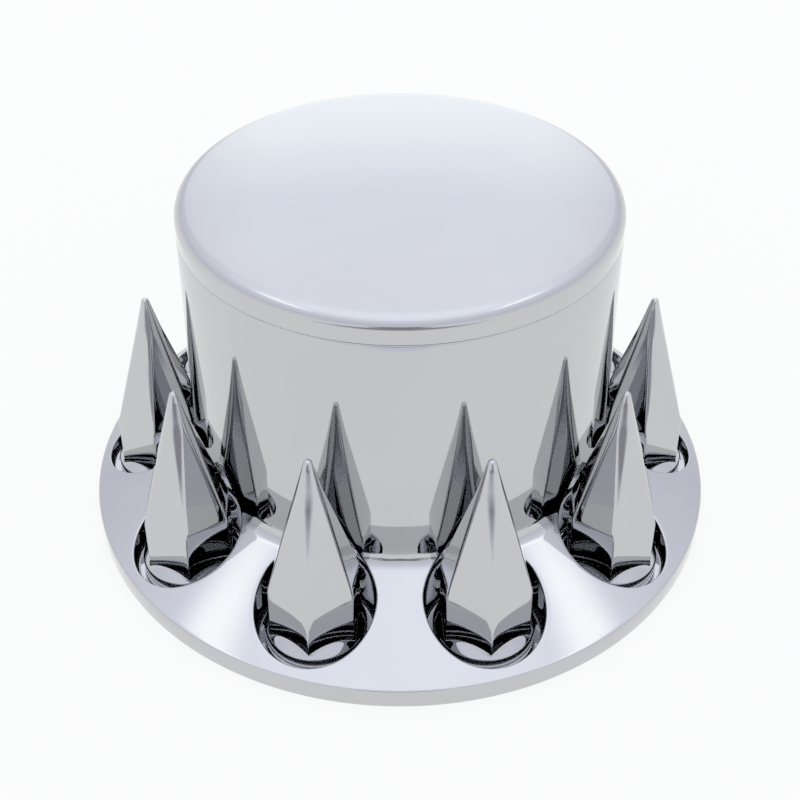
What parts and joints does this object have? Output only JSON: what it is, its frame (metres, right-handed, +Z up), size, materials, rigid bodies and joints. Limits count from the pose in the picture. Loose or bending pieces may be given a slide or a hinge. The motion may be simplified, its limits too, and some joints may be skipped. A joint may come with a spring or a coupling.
{
  "type": "truck rear axle cover",
  "caption": "Deep drum-shaped cover for a truck's rear wheel hub, with a sloping flange, a well for each lug nut, a lift-off hub cap and tall six-sided spiked nut covers.",
  "frame": {"origin": "centre of the rim's lower edge, on the plane that the cover stands on", "axes": "+Z up along the axle, from the wheel's face to the hub cap; -Y towards the viewer of the picture, midway between two nut covers; +X to the viewer's right"},
  "size_m": [0.3609, 0.361, 0.2],
  "materials": {
    "cover_chrome": "bright mirror chrome plating on moulded plastic",
    "cap_chrome": "bright mirror chrome plating on moulded plastic",
    "nut_chrome": "bright mirror chrome plating on moulded plastic"
  },
  "bodies": {
    "axle_cover": {"axle_cover": "cover_chrome"},
    "hub_cap": {"hub_cap": "cap_chrome"},
    "nut_cover_01": {"nut_cover_01": "nut_chrome"},
    "nut_cover_02": {"nut_cover_02": "nut_chrome"},
    "nut_cover_03": {"nut_cover_03": "nut_chrome"},
    "nut_cover_04": {"nut_cover_04": "nut_chrome"},
    "nut_cover_05": {"nut_cover_05": "nut_chrome"},
    "nut_cover_06": {"nut_cover_06": "nut_chrome"},
    "nut_cover_07": {"nut_cover_07": "nut_chrome"},
    "nut_cover_08": {"nut_cover_08": "nut_chrome"},
    "nut_cover_09": {"nut_cover_09": "nut_chrome"},
    "nut_cover_10": {"nut_cover_10": "nut_chrome"}
  },
  "joints": [
    {"name": "hub_cap_pull", "type": "slide", "parent": "axle_cover", "child": "hub_cap", "axis": [0, 0, 1], "range_m": [0, 0.045]},
    {"name": "nut_cover_01_turn", "type": "hinge", "parent": "axle_cover", "child": "nut_cover_01", "pos_m": [0.04415, -0.13588, 0.0055], "axis": [0, 0, 1], "continuous": true},
    {"name": "nut_cover_02_turn", "type": "hinge", "parent": "axle_cover", "child": "nut_cover_02", "pos_m": [0.11559, -0.08398, 0.0055], "axis": [0, 0, 1], "continuous": true},
    {"name": "nut_cover_03_turn", "type": "hinge", "parent": "axle_cover", "child": "nut_cover_03", "pos_m": [0.14288, 0, 0.0055], "axis": [0, 0, 1], "continuous": true},
    {"name": "nut_cover_04_turn", "type": "hinge", "parent": "axle_cover", "child": "nut_cover_04", "pos_m": [0.11559, 0.08398, 0.0055], "axis": [0, 0, 1], "continuous": true},
    {"name": "nut_cover_05_turn", "type": "hinge", "parent": "axle_cover", "child": "nut_cover_05", "pos_m": [0.04415, 0.13588, 0.0055], "axis": [0, 0, 1], "continuous": true},
    {"name": "nut_cover_06_turn", "type": "hinge", "parent": "axle_cover", "child": "nut_cover_06", "pos_m": [-0.04415, 0.13588, 0.0055], "axis": [0, 0, 1], "continuous": true},
    {"name": "nut_cover_07_turn", "type": "hinge", "parent": "axle_cover", "child": "nut_cover_07", "pos_m": [-0.11559, 0.08398, 0.0055], "axis": [0, 0, 1], "continuous": true},
    {"name": "nut_cover_08_turn", "type": "hinge", "parent": "axle_cover", "child": "nut_cover_08", "pos_m": [-0.14288, 0, 0.0055], "axis": [0, 0, 1], "continuous": true},
    {"name": "nut_cover_09_turn", "type": "hinge", "parent": "axle_cover", "child": "nut_cover_09", "pos_m": [-0.11559, -0.08398, 0.0055], "axis": [0, 0, 1], "continuous": true},
    {"name": "nut_cover_10_turn", "type": "hinge", "parent": "axle_cover", "child": "nut_cover_10", "pos_m": [-0.04415, -0.13588, 0.0055], "axis": [0, 0, 1], "continuous": true}
  ]
}
